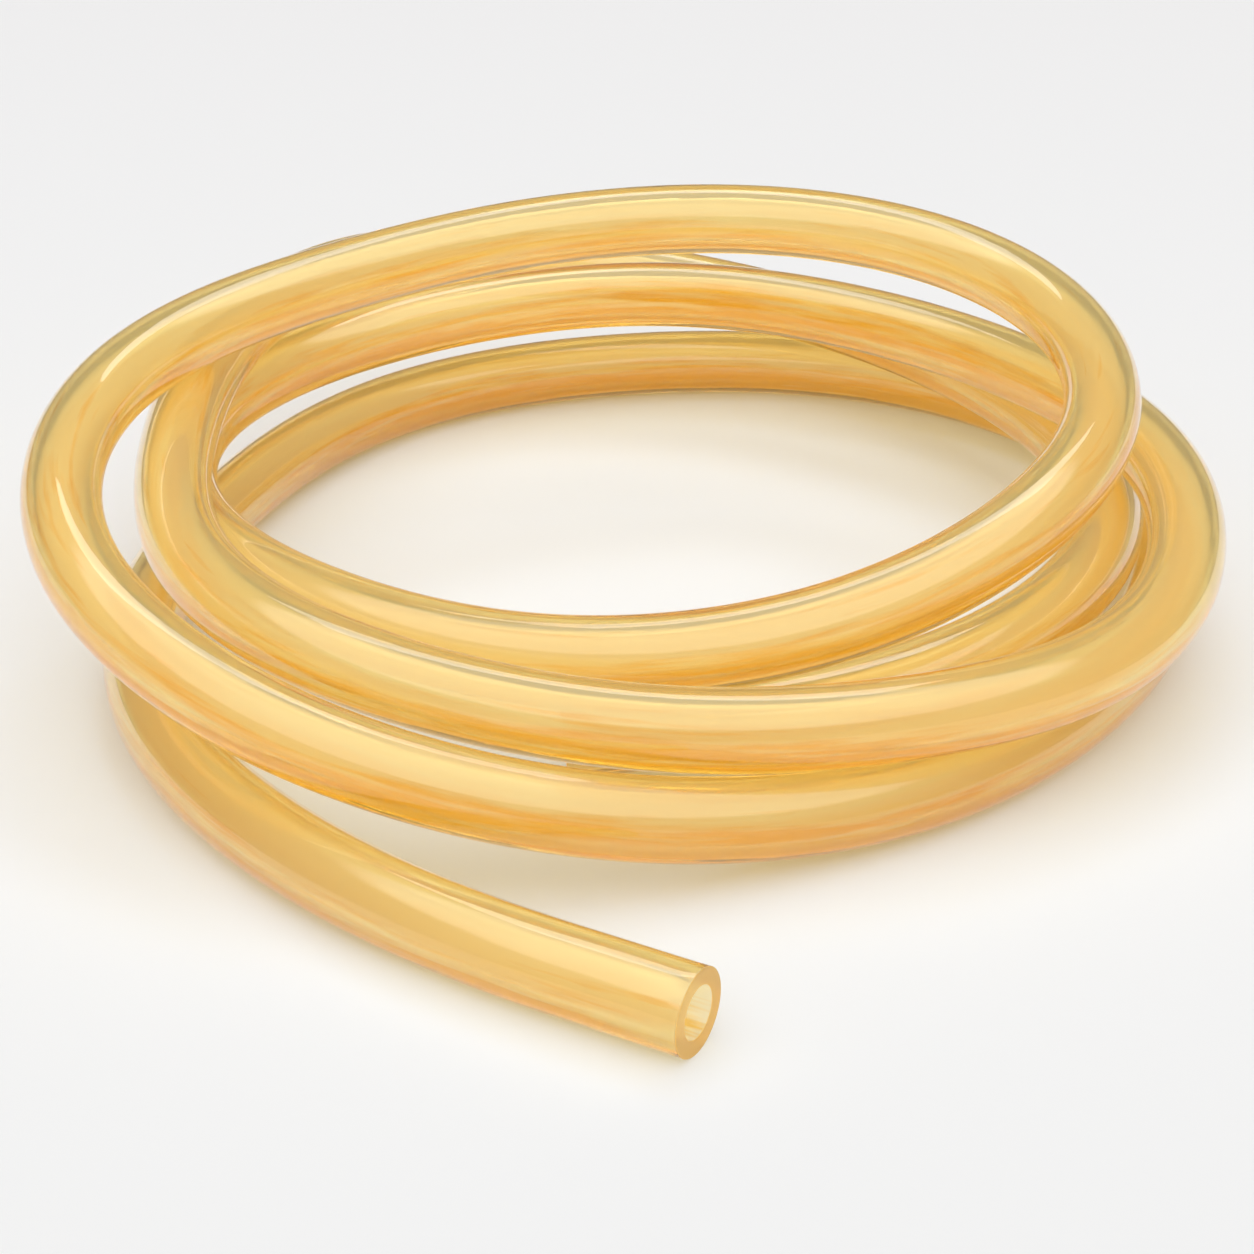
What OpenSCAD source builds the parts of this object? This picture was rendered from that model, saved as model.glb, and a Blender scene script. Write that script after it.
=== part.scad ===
// Coil of thick-walled rubber tubing: one length of tube lying loose in four turns.
// Millimetres, +Z up, floor at Z = 0, origin at the centre of the coil's base.
// Angles go round the coil from the front (-Y), by the left (-X), the back and the right.

/* [Tube] */
// Diameter of the bore
tube_bore = 6; // [3:0.5:12]
// Thickness of the rubber wall
tube_wall = 2; // [1:0.25:4]
// Length of each straight, square-cut end
end_length = 16; // [8:1:24]

/* [Coil] */
// Mean radius of the turns, before each one wanders
coil_radius = 65; // [50:1:120]
// Angle at which the loose end in front of the coil leaves its last bend
tail_angle = 5.5; // [5:0.5:25]
// Angle by which the inner end stops short of four full turns
inner_end_short = 8; // [0:1:40]

/* [Finish] */
// Sides of the swept tube's section
tube_sides = 16; // [8:4:24]
// Rings of the sweep in each full turn
rings_per_turn = 30; // [18:1:40]

/* [Hidden] */
tube_od = tube_bore + 2 * tube_wall;
// The swept stretch is this much thinner on each face than the round ends that it runs into
facet_inset = 0.01;
// Where a round end begins on the straight, and how far the swept stretch runs on inside it
end_overlap = 1;
// Angle between two points of the route
point_step = 30;
turn_count = 4;

// Points that the middle of the tube is drawn towards, each [reach, rise] in tube diameters: how far
// it lies outside coil_radius, and how high above the floor. They start one step before the front.
loose_end = [[6.2, 0.5]];
floor_turn = [
    [2.9, 0.5], [1.3, 0.5], [0.5, 0.5], [0.0, 0.5], [0.0, 0.5], [1.3, 0.5],
    [1.9, 0.5], [2.6, 0.5], [1.9, 0.5], [0.4, 0.5], [-0.2, 0.5], [-0.2, 0.5]
];
top_turn = [
    [0.2, 0.8], [1.1, 1.7], [1.6, 2.8], [0.5, 3.6], [-1.2, 3.8], [-1.8, 4.0],
    [-1.7, 4.1], [-1.1, 4.1], [-0.5, 3.9], [-0.4, 3.4], [-1.0, 2.8], [-1.7, 2.1]
];
middle_turn = [
    [-2.2, 1.7], [-2.3, 1.5], [-1.8, 1.5], [-0.5, 1.5], [0.9, 1.6], [1.3, 1.7],
    [1.0, 2.1], [0.4, 2.1], [0.3, 2.1], [0.6, 2.1], [0.7, 1.5], [-0.1, 1.6]
];
inner_turn = [
    [-0.4, 1.7], [-0.2, 2.1], [-0.1, 2.3], [-0.5, 2.6], [0.2, 2.7], [2.1, 2.8],
    [2.4, 1.8], [1.8, 1.3], [0.8, 1.0], [-0.4, 1.1], [-1.4, 1.0], [-2.1, 0.8]
];
inner_end = [[-2.4, 0.6], [-2.4, 0.5]];
route_points = concat(loose_end, floor_turn, top_turn, middle_turn, inner_turn, inner_end);

start_angle = tail_angle;
stop_angle = 360 * turn_count - inner_end_short;
ring_count = ceil((stop_angle - start_angle) / 360 * rings_per_turn);
ring_step = (stop_angle - start_angle) / ring_count;

// Cubic B-spline weights of the four points around fraction t of a step
function weights(t) = [
    pow(1 - t, 3) / 6,
    (3 * pow(t, 3) - 6 * t * t + 4) / 6,
    (-3 * pow(t, 3) + 3 * t * t + 3 * t + 1) / 6,
    pow(t, 3) / 6
];

// Reach and rise at an angle
function drift(angle) = let (
    place = angle / point_step + 1,
    first = floor(place) - 1,
    weight = weights(place - floor(place))
) [for (axis = [0, 1]) weight * [for (i = [0:3]) route_points[first + i][axis]]];

// Middle of the tube at an angle round the coil
function route(angle) = let (
    now = drift(angle),
    radius = coil_radius + now[0] * tube_od
) [-radius * sin(angle), -radius * cos(angle), now[1] * tube_od];

function unit(v) = v / norm(v);
function heading(angle) = unit(route(angle + 0.5) - route(angle - 0.5));

// Circle of points round a middle point, square to a direction, with one point straight below
function ring(middle, direction, radius) = let (
    side = unit(cross(direction, [0, 0, 1])),
    rise = cross(side, direction)
) [for (k = [0:tube_sides - 1]) let (turn = 360 * k / tube_sides)
    middle + radius * (side * cos(turn) + rise * sin(turn))];

// The two ends: where the sweep stops, and the direction out of the tube
loose_start = route(start_angle);
loose_out = -heading(start_angle);
inner_start = route(stop_angle);
inner_out = heading(stop_angle);
ends = [[loose_start, loose_out], [inner_start, inner_out]];

// Middle and direction of every ring: into the loose end, round the turns, into the inner end
sweep = concat(
    [[loose_start + loose_out * 2 * end_overlap, -loose_out]],
    [for (i = [0:ring_count]) let (angle = start_angle + i * ring_step) [route(angle), heading(angle)]],
    [[inner_start + inner_out * 2 * end_overlap, inner_out]]
);
ring_total = len(sweep);
outer_radius = tube_od / 2 - facet_inset;
bore_radius = (tube_bore / 2 + facet_inset) / cos(180 / tube_sides);

// Centre of the coil's plan, from the outer rings and the two cut faces
cut_rings = [for (end = ends) ring(end[0] + end[1] * end_length, end[1], tube_od / 2)];
outline = concat([for (s = sweep) each ring(s[0], s[1], outer_radius)], cut_rings[0], cut_rings[1]);
plan_centre = [for (axis = [0, 1]) let (places = [for (p = outline) p[axis]]) (min(places) + max(places)) / 2];

function corner(wall, i, k) = (wall * ring_total + i) * tube_sides + k % tube_sides;

// Two triangles for each facet of a wall: the bore's facets face the other way
function wall_faces(wall) = [
    for (i = [0:ring_total - 2], k = [0:tube_sides - 1]) let (
        a = corner(wall, i, k),
        b = corner(wall, i, k + 1),
        c = corner(wall, i + 1, k + 1),
        d = corner(wall, i + 1, k)
    ) each wall == 0 ? [[a, b, c], [a, c, d]] : [[a, c, b], [a, d, c]]
];

// The ring-shaped face that closes the sweep inside a round end
function cap_faces(i, flip) = [
    for (k = [0:tube_sides - 1]) let (
        a = corner(0, i, k),
        b = corner(0, i, k + 1),
        c = corner(1, i, k + 1),
        d = corner(1, i, k)
    ) each flip ? [[a, b, c], [a, c, d]] : [[a, c, b], [a, d, c]]
];

module swept_turns() {
    polyhedron(
        points = concat(
            [for (s = sweep) each ring(s[0], s[1], outer_radius)],
            [for (s = sweep) each ring(s[0], s[1], bore_radius)]
        ),
        faces = concat(wall_faces(0), wall_faces(1), cap_faces(0, false), cap_faces(ring_total - 1, true))
    );
}

// A straight, round end of the tube, with its cut face square across, end_length from start
module cut_end(start, out) {
    yaw = atan2(out[1], out[0]);
    pitch = acos(out[2]);
    round_length = end_length - end_overlap;
    translate(start + out * end_overlap) rotate([0, pitch, yaw]) difference() {
        cylinder(d = tube_od, h = round_length, $fn = 64);
        translate([0, 0, -1]) cylinder(d = tube_bore, h = round_length + 2, $fn = 64);
    }
}

module rubber_tube() {
    color("goldenrod") translate([-plan_centre[0], -plan_centre[1], 0]) union() {
        swept_turns();
        for (end = ends) cut_end(end[0], end[1]);
    }
}

rubber_tube();
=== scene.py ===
# Coil of amber natural rubber tubing: one length of tube lying loose in four turns on a pale floor.
import bpy
import math
import numpy as np
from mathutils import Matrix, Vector


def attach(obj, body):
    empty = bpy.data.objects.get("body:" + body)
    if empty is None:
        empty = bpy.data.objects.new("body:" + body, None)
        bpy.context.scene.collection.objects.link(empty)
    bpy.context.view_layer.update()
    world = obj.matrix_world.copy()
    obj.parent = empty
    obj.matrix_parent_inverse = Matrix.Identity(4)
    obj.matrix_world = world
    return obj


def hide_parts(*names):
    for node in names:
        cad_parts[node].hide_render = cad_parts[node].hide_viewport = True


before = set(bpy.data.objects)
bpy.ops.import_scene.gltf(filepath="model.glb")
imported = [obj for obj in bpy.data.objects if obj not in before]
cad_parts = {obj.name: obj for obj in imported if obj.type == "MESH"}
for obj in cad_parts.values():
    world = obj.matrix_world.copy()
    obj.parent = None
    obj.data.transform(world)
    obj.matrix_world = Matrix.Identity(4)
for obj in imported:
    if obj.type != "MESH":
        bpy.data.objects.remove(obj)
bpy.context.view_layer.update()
scene = bpy.context.scene
mm = 0.001


def srgb(hexCode):
    # Each pair of hex digits is an sRGB channel, bent back to linear light
    channels = np.array([int(hexCode[i:i + 2], 16) for i in (1, 3, 5)]) / 255
    linear = np.where(channels <= 0.04045, channels / 12.92, ((channels + 0.055) / 1.055) ** 2.4)
    return (*[float(c) for c in linear], 1.0)


def addNode(tree, kind, settings=None, **inputs):
    # One node: settings are its own properties, inputs are sockets given a value or a link. A socket goes
    # by its name, or by at and its number where names repeat
    node = tree.nodes.new(kind)
    for name, value in (settings or {}).items():
        setattr(node, name, value)
    for name, value in inputs.items():
        key = int(name[2:]) if name.startswith("at") else name.replace("_", " ")
        if isinstance(value, bpy.types.NodeSocket):
            tree.links.new(value, node.inputs[key])
        else:
            node.inputs[key].default_value = value
    return node


camera = dict(
    lens=78.6,                        # mm
    sensor=36.0,                      # mm across
    place=(-3.1, -328.2, 167.2),      # mm
    tiltDown=26.7,                    # degrees below level, looking along +Y
    nearest=10.0,                     # mm, where its view begins
)


def addCamera():
    # A camera looks straight down until it is turned up, by 90 degrees less tiltDown
    data = bpy.data.cameras.new("studioCamera")
    data.sensor_width = camera["sensor"]
    data.lens = camera["lens"]
    data.clip_start = camera["nearest"] * mm
    item = bpy.data.objects.new("studioCamera", data)
    item.location = [c * mm for c in camera["place"]]
    item.rotation_euler = (math.radians(90 - camera["tiltDown"]), 0, 0)
    scene.collection.objects.link(item)
    scene.camera = item


addCamera()
print("camera placed")

tube = dict(
    diameter=10.0,          # mm, outside
    bore=6.0,               # mm
    coilRadius=65.0,        # mm, mean radius of the turns
    tailAngle=5.5,          # degrees round the coil where the loose end leaves its last bend
    innerEndShort=8.0,      # degrees that the inner end stops short of four turns
    endLength=16.0,         # mm, straight at each end
    edgeRadius=0.12,        # mm, on the rims of the knife-cut ends
    sides=56,               # round the section
    ringStep=1.5,           # mm between rings of the outside
    boreStep=3.0,           # mm between rings of the bore
    rimSteps=3,             # over each rounded rim
    faceRings=4,            # on each cut face, between its rims
    angleStep=0.25,         # degrees between points of the middle line
    endSteps=32,            # of the middle line, in each straight end
    pathStep=6,             # points of the middle line for each one in the cord's path
    outsideHaze=0.06,       # share of the light that scatters at each surface
    boreHaze=0.5,
    cutHaze=0.75,
    cutDepth=0.1,           # mm in from each end, all of it cut face
    paintedShadeBelow=0.055,      # painted shade, of the deeper colour, per mm below the middle of the tube
    cutDeeper=0.04,
    paleBore=12.0,          # mm in from each end, over which the bore is paler
    boreEndPaler=0.12,
)

# Points that the middle of the tube is drawn towards, one every 30 degrees from one step before the
# front, going round by the left. Each is [reach outside coilRadius, rise above the floor], in tube
# diameters, the same as in the part's source
pointStep = 30
looseEnd = [[6.2, 0.5]]
floorTurn = [
    [2.9, 0.5], [1.3, 0.5], [0.5, 0.5], [0.0, 0.5], [0.0, 0.5], [1.3, 0.5],
    [1.9, 0.5], [2.6, 0.5], [1.9, 0.5], [0.4, 0.5], [-0.2, 0.5], [-0.2, 0.5],
]
topTurn = [
    [0.2, 0.8], [1.1, 1.7], [1.6, 2.8], [0.5, 3.6], [-1.2, 3.8], [-1.8, 4.0],
    [-1.7, 4.1], [-1.1, 4.1], [-0.5, 3.9], [-0.4, 3.4], [-1.0, 2.8], [-1.7, 2.1],
]
middleTurn = [
    [-2.2, 1.7], [-2.3, 1.5], [-1.8, 1.5], [-0.5, 1.5], [0.9, 1.6], [1.3, 1.7],
    [1.0, 2.1], [0.4, 2.1], [0.3, 2.1], [0.6, 2.1], [0.7, 1.5], [-0.1, 1.6],
]
innerTurn = [
    [-0.4, 1.7], [-0.2, 2.1], [-0.1, 2.3], [-0.5, 2.6], [0.2, 2.7], [2.1, 2.8],
    [2.4, 1.8], [1.8, 1.3], [0.8, 1.0], [-0.4, 1.1], [-1.4, 1.0], [-2.1, 0.8],
]
innerEnd = [[-2.4, 0.6], [-2.4, 0.5]]
routePoints = np.array(looseEnd + floorTurn + topTurn + middleTurn + innerTurn + innerEnd)
turnCount = 4


def unit(vectors):
    # Each vector over its own length
    return vectors / np.linalg.norm(vectors, axis=-1, keepdims=True)


def routeAt(degrees):
    # A uniform cubic B-spline through reach and rise over the angle, turned into x, y and z in metres
    place = np.asarray(degrees, float) / pointStep + 1
    first = np.floor(place).astype(int) - 1
    t = place - np.floor(place)
    weights = np.stack([
        (1 - t) ** 3 / 6,
        (3 * t ** 3 - 6 * t ** 2 + 4) / 6,
        (-3 * t ** 3 + 3 * t ** 2 + 3 * t + 1) / 6,
        t ** 3 / 6,
    ], axis=-1)
    drift = (weights[..., None] * routePoints[first[..., None] + np.arange(4)]).sum(-2)
    radius = (tube["coilRadius"] + drift[..., 0] * tube["diameter"]) * mm
    height = drift[..., 1] * tube["diameter"] * mm
    turn = np.radians(degrees)
    return np.stack([-radius * np.sin(turn), -radius * np.cos(turn), height], -1)


def ringAxes(directions):
    # Side and rise of each ring, square to the way the tube runs, with rise as near to up as it can be
    side = unit(np.cross(directions, [0, 0, 1]))
    return side, np.cross(side, directions)


def middleLine():
    # The route from cut face to cut face: straight, four turns at even angles, straight. Travel is the
    # distance to each point, the sum of the steps before it
    angles = np.arange(tube["tailAngle"], 360 * turnCount - tube["innerEndShort"], tube["angleStep"])
    turns = routeAt(angles)
    steps = np.linspace(0, tube["endLength"] * mm, tube["endSteps"] + 1)[1:, None]
    looseOut = unit(turns[0] - turns[1])
    innerOut = unit(turns[-1] - turns[-2])
    line = np.vstack([turns[0] + looseOut * steps[::-1], turns, turns[-1] + innerOut * steps])
    travel = np.concatenate([[0], np.cumsum(np.linalg.norm(np.diff(line, axis=0), axis=1))])
    return line, travel


def lineAt(line, travel, distances):
    # Place at each distance, straight between the line's points, and direction from 1 mm before to 1 mm after
    def placesAt(where):
        return np.stack([np.interp(where, travel, line[:, axis]) for axis in range(3)], -1)
    before = np.clip(distances - mm, 0, travel[-1])
    after = np.clip(distances + mm, 0, travel[-1])
    return placesAt(distances), unit(placesAt(after) - placesAt(before))


def tubeProfile(length):
    # Radius and distance along the tube of each ring, as one closed loop: along the outside, over the
    # far cut face, back along the bore, and over the near cut face. Quarter circles round the rims
    outer, inner = tube["diameter"] / 2 * mm, tube["bore"] / 2 * mm
    rim = tube["edgeRadius"] * mm
    quarter = np.radians(np.linspace(0, 90, tube["rimSteps"] + 1))
    rise, fall = rim * (1 - np.cos(quarter)), rim * (1 - np.sin(quarter))
    outerCount = int(length / mm / tube["ringStep"])
    innerCount = int(length / mm / tube["boreStep"])
    along = np.linspace(rim, length - rim, outerCount)
    back = np.linspace(length - rim, rim, innerCount)
    face = np.linspace(outer - rim, inner + rim, tube["faceRings"] + 2)[1:-1]
    radii = np.concatenate([
        np.full(outerCount, outer), outer - rise[1:], face, inner + rise[::-1][:-1],
        np.full(innerCount, inner), inner + rise[1:], face[::-1], outer - rise[::-1][:-1],
    ])
    places = np.concatenate([
        along, length - fall[1:], np.full(len(face), length), length - fall[::-1][:-1],
        back, fall[1:], np.zeros(len(face)), fall[::-1][:-1],
    ])
    return radii, places


def sweptGrid(radii, distances, line, travel):
    # Point of a ring = middle + radius * (side * cos(turn) + rise * sin(turn))
    middles, directions = lineAt(line, travel, distances)
    side, rise = ringAxes(directions)
    turn = np.linspace(0, 2 * np.pi, tube["sides"], endpoint=False)
    spokes = side[:, None] * np.cos(turn)[:, None] + rise[:, None] * np.sin(turn)[:, None]
    return middles[:, None] + radii[:, None, None] * spokes, turn


def gridMesh(name, points):
    # Quads over a grid whose rows and columns both close on themselves
    index = np.arange(points.shape[0] * points.shape[1]).reshape(points.shape[:2])
    nextRow = np.roll(index, -1, 0)
    quads = np.stack([index, nextRow, np.roll(nextRow, -1, 1), np.roll(index, -1, 1)], -1).reshape(-1, 4)
    mesh = bpy.data.meshes.new(name)
    mesh.vertices.add(index.size)
    mesh.vertices.foreach_set("co", points.reshape(-1).astype(np.float32))
    mesh.loops.add(quads.size)
    mesh.loops.foreach_set("vertex_index", quads.reshape(-1).astype(np.int32))
    mesh.polygons.add(len(quads))
    mesh.polygons.foreach_set("loop_start", np.arange(0, quads.size, 4, dtype=np.int32))
    mesh.polygons.foreach_set("use_smooth", np.ones(len(quads), dtype=bool))
    mesh.update(calc_edges=True)
    mesh.validate()
    return mesh


def addAttribute(mesh, name, kind, values):
    # One value for each point of the mesh
    key = "vector" if kind == "FLOAT_VECTOR" else "value"
    data = mesh.attributes.new(name, kind, "POINT").data
    data.foreach_set(key, values.reshape(-1).astype(np.float32))


def addFinish(mesh, radii, distances, turn, length):
    # unrolled is where each point lies in the straight tube, in mm, for the streaks that run along it. The
    # cut faces stay at one place, so they are plain
    fromEnd = np.minimum(distances, length - distances) / mm
    onCut = fromEnd < tube["cutDepth"]
    inBore = radii < (tube["diameter"] + tube["bore"]) / 4 * mm
    lengthwise = np.repeat(distances[:, None], tube["sides"], 1)
    across = radii[:, None] * np.cos(turn), radii[:, None] * np.sin(turn)
    unrolled = np.stack([*across, lengthwise], -1) / mm
    unrolled[onCut] = 0
    addAttribute(mesh, "unrolled", "FLOAT_VECTOR", unrolled)
    # haze is how cloudy each surface is
    haze = np.where(onCut, tube["cutHaze"], np.where(inBore, tube["boreHaze"], tube["outsideHaze"]))
    addAttribute(mesh, "haze", "FLOAT", np.repeat(haze, tube["sides"]))
    # How much of the deeper colour each point takes. Below the middle it is painted shade, growing with each
    # mm down, so the underside is deeper amber and the top paler, fading out towards the ends of the bore,
    # which are paler by boreEndPaler
    fade = np.where(inBore, np.clip(fromEnd / tube["paleBore"], 0, 1), 1)[:, None]
    deeperAndPaintedShade = -tube["paintedShadeBelow"] * fade * unrolled[..., 1] - tube["boreEndPaler"] * (1 - fade)
    deeperAndPaintedShade[onCut] = tube["cutDeeper"]
    addAttribute(mesh, "deeperAndPaintedShade", "FLOAT", deeperAndPaintedShade)


def addTube():
    # The profile carried along the middle line, and moved so that the coil's plan is centred on the origin
    line, travel = middleLine()
    length = travel[-1]
    radii, distances = tubeProfile(length)
    points, turn = sweptGrid(radii, distances, line, travel)
    corners = points.reshape(-1, 3)
    centre = (corners.min(0) + corners.max(0)) / 2
    centre[2] = 0
    mesh = gridMesh("rubberTubing", points - centre)
    addFinish(mesh, radii, distances, turn, length)
    piece = bpy.data.objects.new("rubberTubing", mesh)
    scene.collection.objects.link(piece)
    return piece, line - centre, round(float(length), 3)


tubing, tubeLine, tubeLength = addTube()
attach(tubing, "root")
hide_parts("rubber_tube")
print("tube made,", tubeLength, "m long")

rubber = dict(
    clear="#FFFAEC",         # tint of what goes straight through each surface
    absorbed="#FFEA00",      # what is left of white light inside the wall
    density=200.0,           # per metre, of the absorption
    ior=1.45,
    roughness=0.0,           # glossy, as the die leaves it
    lineDepth=0.035,         # mm, of the die lines
    milk="#FFF9E8",          # what scatters in the wall
    streakAndPaintedShade="#FCC41C",        # the same in the darker streaks, and where painted shade deepens the underside
    frontShare=0.6,          # of the scattered light, how much comes back on the side it fell on
    cloudWidth=6.0,          # mm across
    cloudDetail=1.0,
    streakWidth=1.0,         # mm across
    streakDetail=2.0,
    streakShare=0.5,         # of the pattern, where the rest is clouds
    stretch=0.06,            # width over length, of both
    palest=0.44,             # level of the pattern where the colour is all milk
    deepest=0.58,            # and where it is all streak
    bounceTint="#FAFBFA",    # of light on its way between diffuse surfaces
    bounceThrough=0.5,       # how much of that goes on through
    shadowTint="#F2EEF0",    # of lamp light, at each surface it crosses
)


def amberNaturalRubber():
    # Natural latex rubber, extruded: clear amber and glossy, so the bore shows through the wall, with cloudy
    # streaks and faint die lines along the tube, and painted shade that makes the underside deeper amber and
    # the top paler. It is clear where haze is 0 and milky where it is 1
    material = bpy.data.materials.new("amberNaturalRubberExtruded")
    material.use_nodes = True
    tree = material.node_tree
    tree.nodes.clear()
    unrolled = addNode(tree, "ShaderNodeAttribute", dict(attribute_name="unrolled"))
    drawnOut = addNode(tree, "ShaderNodeMapping", Vector=unrolled.outputs["Vector"],
                       Scale=(1, 1, rubber["stretch"]))
    clouds = addNode(tree, "ShaderNodeTexNoise", Vector=drawnOut.outputs[0],
                     Scale=1 / rubber["cloudWidth"], Detail=rubber["cloudDetail"])
    streaks = addNode(tree, "ShaderNodeTexNoise", Vector=drawnOut.outputs[0],
                      Scale=1 / rubber["streakWidth"], Detail=rubber["streakDetail"])
    pattern = addNode(tree, "ShaderNodeMix", dict(data_type="FLOAT"), Factor=rubber["streakShare"],
                      at2=clouds.outputs["Fac"], at3=streaks.outputs["Fac"])
    # Painted shade: the underside of the tube takes more of the deeper colour and the top less, added to the
    # pattern
    deeperAndPaintedShade = addNode(tree, "ShaderNodeAttribute", dict(attribute_name="deeperAndPaintedShade"))
    lower = addNode(tree, "ShaderNodeMath", dict(operation="ADD"),
                    at0=pattern.outputs[0], at1=deeperAndPaintedShade.outputs["Fac"])
    spread = addNode(tree, "ShaderNodeMapRange", Value=lower.outputs[0],
                     From_Min=rubber["palest"], From_Max=rubber["deepest"])
    colour = addNode(tree, "ShaderNodeMix", dict(data_type="RGBA"), Factor=spread.outputs[0],
                     at6=srgb(rubber["milk"]), at7=srgb(rubber["streakAndPaintedShade"]))
    dieLines = addNode(tree, "ShaderNodeBump", Height=streaks.outputs["Fac"],
                       Strength=1.0, Distance=rubber["lineDepth"] * mm)
    glass = addNode(
        tree, "ShaderNodeBsdfPrincipled", Base_Color=srgb(rubber["clear"]), IOR=rubber["ior"],
        Roughness=rubber["roughness"], Transmission_Weight=1.0, Coat_Weight=1.0,
        Coat_Roughness=rubber["roughness"], Normal=dieLines.outputs[0],
    )
    front = addNode(tree, "ShaderNodeBsdfDiffuse", Color=colour.outputs[2])
    back = addNode(tree, "ShaderNodeBsdfTranslucent", Color=colour.outputs[2])
    milk = addNode(tree, "ShaderNodeMixShader", at0=rubber["frontShare"],
                   at1=back.outputs[0], at2=front.outputs[0])
    haze = addNode(tree, "ShaderNodeAttribute", dict(attribute_name="haze"))
    body = addNode(tree, "ShaderNodeMixShader", at0=haze.outputs["Fac"],
                   at1=glass.outputs[0], at2=milk.outputs[0])
    # Light between diffuse surfaces meets plain pale rubber, and lamp light goes straight through
    path = addNode(tree, "ShaderNodeLightPath")
    bounce = addNode(tree, "ShaderNodeBsdfDiffuse", Color=srgb(rubber["bounceTint"]))
    beyond = addNode(tree, "ShaderNodeBsdfTranslucent", Color=srgb(rubber["bounceTint"]))
    plain = addNode(tree, "ShaderNodeMixShader", at0=rubber["bounceThrough"],
                    at1=bounce.outputs[0], at2=beyond.outputs[0])
    softly = addNode(tree, "ShaderNodeMixShader", at0=path.outputs["Is Diffuse Ray"],
                     at1=body.outputs[0], at2=plain.outputs[0])
    through = addNode(tree, "ShaderNodeBsdfTransparent", Color=srgb(rubber["shadowTint"]))
    surface = addNode(tree, "ShaderNodeMixShader", at0=path.outputs["Is Shadow Ray"],
                      at1=softly.outputs[0], at2=through.outputs[0])
    inside = addNode(tree, "ShaderNodeVolumeAbsorption",
                     Color=srgb(rubber["absorbed"]), Density=rubber["density"])
    addNode(tree, "ShaderNodeOutputMaterial", Surface=surface.outputs[0], Volume=inside.outputs[0])
    return material


tubing.data.materials.append(amberNaturalRubber())
print("rubber finished")

studio = dict(
    floorSize=12.0,         # m across
    floorColour="#F4F4F4",
    farPaintedShade="#EBEAEA",    # painted shade of the floor, where it runs off at the back
    paintedShadeFullAt=0.45,             # m behind the middle, where that painted shade is darkest
    roomColour="#FFFFFF",
    ceiling=1.47,           # brightness, as for the walls
    ceilingLean=15.0,       # degrees from straight up, towards the front
    ceilingEdge=45.0,       # degrees from its middle to where it starts to fade
    ceilingBlur=6.0,        # degrees over which it fades
    frontWall=0.42,
    backWall=0.17,
    frontUntil=-0.5,        # the front wall ends where a direction goes this far along Y
    backFrom=0.3,           # and the back wall begins here
)

softbox = dict(
    place=(0.0, 0.96, 1.5),     # m
    target=(0.0, 0.0, 0.02),    # m
    width=1.0,                  # m
    depth=0.5,                  # m
    power=3.6,                  # W
)


def addFloor():
    # A flat square of matt white paper, even and with no gloss. Painted shade darkens it evenly from its
    # colour at the middle to a greyer one where it runs off at the back
    half = studio["floorSize"] / 2
    corners = [(-half, -half, 0), (half, -half, 0), (half, half, 0), (-half, half, 0)]
    mesh = bpy.data.meshes.new("studioFloor")
    mesh.from_pydata(corners, [], [(0, 1, 2, 3)])
    floor = bpy.data.objects.new("studioFloor", mesh)
    scene.collection.objects.link(floor)
    material = bpy.data.materials.new("matWhitePaper")
    material.use_nodes = True
    tree = material.node_tree
    tree.nodes.clear()
    place = addNode(tree, "ShaderNodeTexCoord")
    away = addNode(tree, "ShaderNodeSeparateXYZ", Vector=place.outputs["Object"])
    shade = addNode(tree, "ShaderNodeMapRange", Value=away.outputs["Y"], From_Max=studio["paintedShadeFullAt"])
    colour = addNode(tree, "ShaderNodeMix", dict(data_type="RGBA"), Factor=shade.outputs[0],
                     at6=srgb(studio["floorColour"]), at7=srgb(studio["farPaintedShade"]))
    sheet = addNode(tree, "ShaderNodeBsdfDiffuse", Color=colour.outputs[2])
    addNode(tree, "ShaderNodeOutputMaterial", Surface=sheet.outputs[0])
    mesh.materials.append(material)


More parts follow.
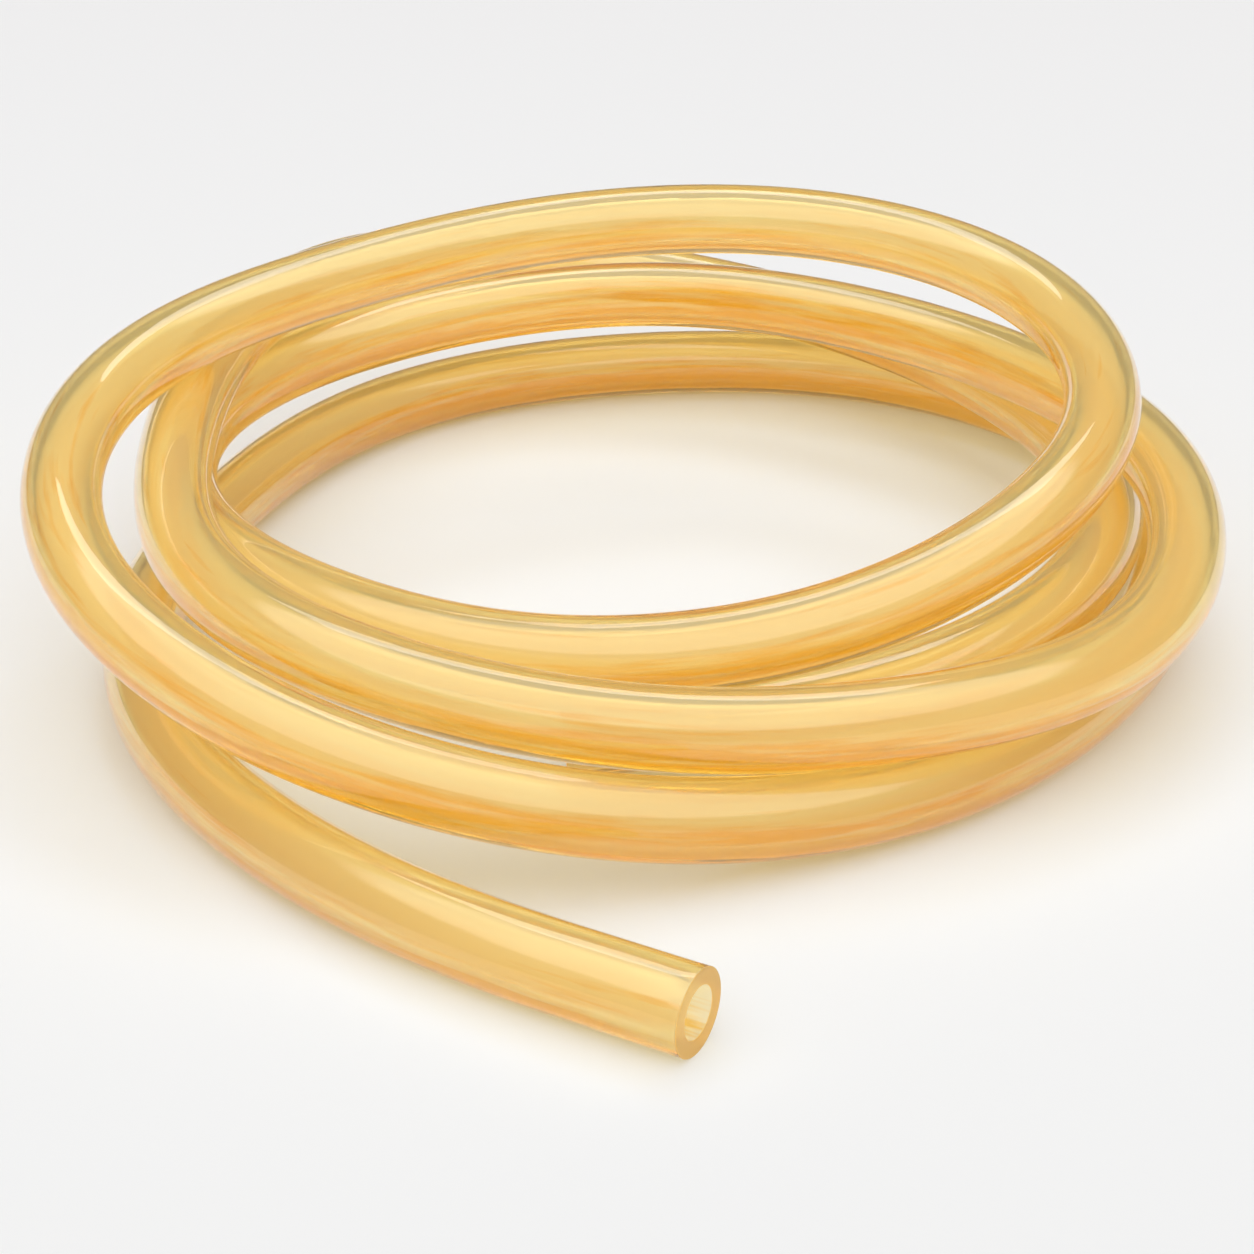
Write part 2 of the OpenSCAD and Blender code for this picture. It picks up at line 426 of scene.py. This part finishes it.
def addRoom():
    # A white room: bright within ceilingEdge of the ceiling's middle, which leans to the front, fair in
    # front, dim behind. The dim side draws the darker lines along the tops of the turns
    world = bpy.data.worlds.new("softWhiteRoom")
    scene.world = world
    world.use_nodes = True
    tree = world.node_tree
    tree.nodes.clear()
    direction = addNode(tree, "ShaderNodeTexCoord").outputs["Generated"]
    lean, edge, blur = (math.radians(studio[name]) for name in ("ceilingLean", "ceilingEdge", "ceilingBlur"))
    upness = addNode(tree, "ShaderNodeVectorMath", dict(operation="DOT_PRODUCT"),
                     at0=direction, at1=(0, -math.sin(lean), math.cos(lean)))
    ceiling = addNode(tree, "ShaderNodeMapRange", dict(interpolation_type="SMOOTHSTEP"),
                      Value=upness.outputs["Value"], From_Min=math.cos(edge + blur), From_Max=math.cos(edge))
    depth = addNode(tree, "ShaderNodeSeparateXYZ", Vector=direction)
    walls = addNode(tree, "ShaderNodeMapRange", Value=depth.outputs["Y"],
                    From_Min=studio["frontUntil"], From_Max=studio["backFrom"],
                    To_Min=studio["frontWall"], To_Max=studio["backWall"])
    level = addNode(tree, "ShaderNodeMix", dict(data_type="FLOAT"), Factor=ceiling.outputs[0],
                    at2=walls.outputs[0], at3=studio["ceiling"])
    glow = addNode(tree, "ShaderNodeBackground", Color=srgb(studio["roomColour"]), Strength=level.outputs[0])
    addNode(tree, "ShaderNodeOutputWorld", Surface=glow.outputs[0])


def addSoftbox():
    # A rectangular lamp above and behind, turned to face its target
    data = bpy.data.lights.new("overheadBackSoftbox", "AREA")
    data.shape = "RECTANGLE"
    data.size, data.size_y = softbox["width"], softbox["depth"]
    data.energy = softbox["power"]
    item = bpy.data.objects.new("overheadBackSoftbox", data)
    item.location = softbox["place"]
    facing = Vector(softbox["target"]) - Vector(softbox["place"])
    item.rotation_euler = facing.to_track_quat("-Z", "Y").to_euler()
    scene.collection.objects.link(item)


addFloor()
addRoom()
addSoftbox()
scene.cycles.use_light_tree = False    # one lamp needs none
# Light crosses up to four surfaces in each tube, and the turns lie two or three deep
scene.cycles.diffuse_bounces = 2
scene.cycles.transmission_bounces = 10
scene.cycles.max_bounces = 10
scene.cycles.transparent_max_bounces = 10
scene.view_settings.view_transform = "Standard"
print("studio lit")
